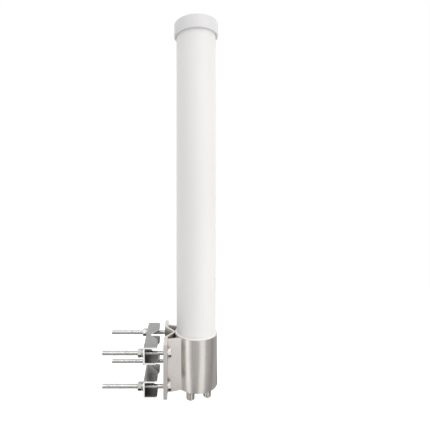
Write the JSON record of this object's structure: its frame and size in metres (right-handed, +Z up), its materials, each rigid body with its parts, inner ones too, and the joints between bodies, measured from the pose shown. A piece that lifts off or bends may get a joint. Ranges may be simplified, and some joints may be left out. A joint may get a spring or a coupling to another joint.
{
  "type": "omnidirectional antenna",
  "caption": "Vertical omnidirectional antenna: white radome tube with a slip-on cap, brushed aluminium base with coaxial ports, and a bolted vee clamp for a mast.",
  "frame": {"origin": "on the axis of the clamped mast, at the clamp's mid height", "axes": "+Z up along the mast and the antenna; +X from the mast to the antenna's own axis, along the clamp bolts; +Y across the clamp"},
  "size_m": [0.2152, 0.116, 0.7154],
  "materials": {
    "brushed_aluminium": "drawn and brushed lengthwise, clear anodised",
    "radome_tube": "satin white glass-fibre tube",
    "top_cap": "satin white moulded",
    "white_sealant": "cured silicone",
    "black_rubber": "matt",
    "plate_aluminium": "milled",
    "stainless_screws": "bright",
    "black_plastic": "matt",
    "nickel_plate": "bright nickel plate",
    "white_insulator": "waxy PTFE",
    "gold_contact": "gold flash",
    "inner_aluminium": "mill finish",
    "circuit_board": "glass-epoxy laminate",
    "copper": "bare copper",
    "tinned_coax": "tin-soaked braid",
    "white_foam": "closed-cell foam",
    "bolt_steel": "bright stainless with rolled thread",
    "pressed_jaw": "blasted satin stainless with bright cut edges",
    "nut_steel": "bright stainless",
    "spring_steel": "stainless",
    "washer_steel": "stainless"
  },
  "bodies": {
    "antenna": {"base_extrusion": "brushed_aluminium", "board_spacer_1": "white_foam", "board_spacer_2": "white_foam", "board_spacer_3": "white_foam", "bolt_head_washers": "washer_steel", "bottom_gasket": "black_rubber", "bottom_plate": "plate_aluminium", "bottom_plate_screws": "stainless_screws", "cap_seal_ring": "black_rubber", "clamp_bolts": "bolt_steel", "dipole_copper_1": "copper", "dipole_copper_2": "copper", "dipole_copper_3": "copper", "dipole_copper_4": "copper", "element_board_1": "circuit_board", "element_board_2": "circuit_board", "element_board_3": "circuit_board", "element_board_4": "circuit_board", "feed_cable_1": "tinned_coax", "feed_cable_2": "tinned_coax", "feed_cable_3": "tinned_coax", "feed_cable_4": "tinned_coax", "radome_adhesive": "white_sealant", "radome_sealant_bead": "white_sealant", "radome_tube": "radome_tube", "rf_connector_1": "nickel_plate", "rf_connector_2": "nickel_plate", "rf_connector_3": "nickel_plate", "rf_connector_4": "nickel_plate", "rf_connector_nuts": "nickel_plate", "rf_contact_1": "gold_contact", "rf_contact_2": "gold_contact", "rf_contact_3": "gold_contact", "rf_contact_4": "gold_contact", "rf_insulator_1": "white_insulator", "rf_insulator_2": "white_insulator", "rf_insulator_3": "white_insulator", "rf_insulator_4": "white_insulator", "rf_lock_washers": "nickel_plate", "rf_panel_seals": "black_rubber", "spine_socket": "inner_aluminium", "spine_socket_screws": "stainless_screws", "spine_tube": "inner_aluminium", "top_cap": "top_cap", "vent_plug": "black_plastic"},
    "upper_jaw": {"upper_jaw": "pressed_jaw", "upper_flat_washers": "washer_steel", "upper_spring_washers": "spring_steel"},
    "lower_jaw": {"lower_jaw": "pressed_jaw", "lower_flat_washers": "washer_steel", "lower_spring_washers": "spring_steel"},
    "nut_upper_front": {"clamp_nut_upper_front": "nut_steel"},
    "nut_upper_rear": {"clamp_nut_upper_rear": "nut_steel"},
    "nut_lower_front": {"clamp_nut_lower_front": "nut_steel"},
    "nut_lower_rear": {"clamp_nut_lower_rear": "nut_steel"}
  },
  "joints": [
    {"name": "upper_jaw_slide", "type": "slide", "parent": "antenna", "child": "upper_jaw", "axis": [-1, 0, 0], "range_m": [-0.01, 0.06]},
    {"name": "lower_jaw_slide", "type": "slide", "parent": "antenna", "child": "lower_jaw", "axis": [-1, 0, 0], "range_m": [-0.01, 0.06]},
    {"name": "nut_upper_front_turn", "type": "hinge", "parent": "upper_jaw", "child": "nut_upper_front", "pos_m": [-0.0373, -0.045, 0.03], "axis": [-1, 0, 0], "range_deg": [-2880.5, 17280.5]},
    {"name": "nut_upper_rear_turn", "type": "hinge", "parent": "upper_jaw", "child": "nut_upper_rear", "pos_m": [-0.0373, 0.045, 0.03], "axis": [-1, 0, 0], "range_deg": [-2880.5, 17280.5]},
    {"name": "nut_lower_front_turn", "type": "hinge", "parent": "lower_jaw", "child": "nut_lower_front", "pos_m": [-0.0373, -0.045, -0.03], "axis": [-1, 0, 0], "range_deg": [-2880.5, 17280.5]},
    {"name": "nut_lower_rear_turn", "type": "hinge", "parent": "lower_jaw", "child": "nut_lower_rear", "pos_m": [-0.0373, 0.045, -0.03], "axis": [-1, 0, 0], "range_deg": [-2880.5, 17280.5]}
  ],
  "couplings": [
    {"joint": "nut_upper_front_turn", "follows": "upper_jaw_slide", "rad_per_m": 5026.5},
    {"joint": "nut_upper_rear_turn", "follows": "upper_jaw_slide", "rad_per_m": 5026.5},
    {"joint": "nut_lower_front_turn", "follows": "lower_jaw_slide", "rad_per_m": 5026.5},
    {"joint": "nut_lower_rear_turn", "follows": "lower_jaw_slide", "rad_per_m": 5026.5}
  ]
}
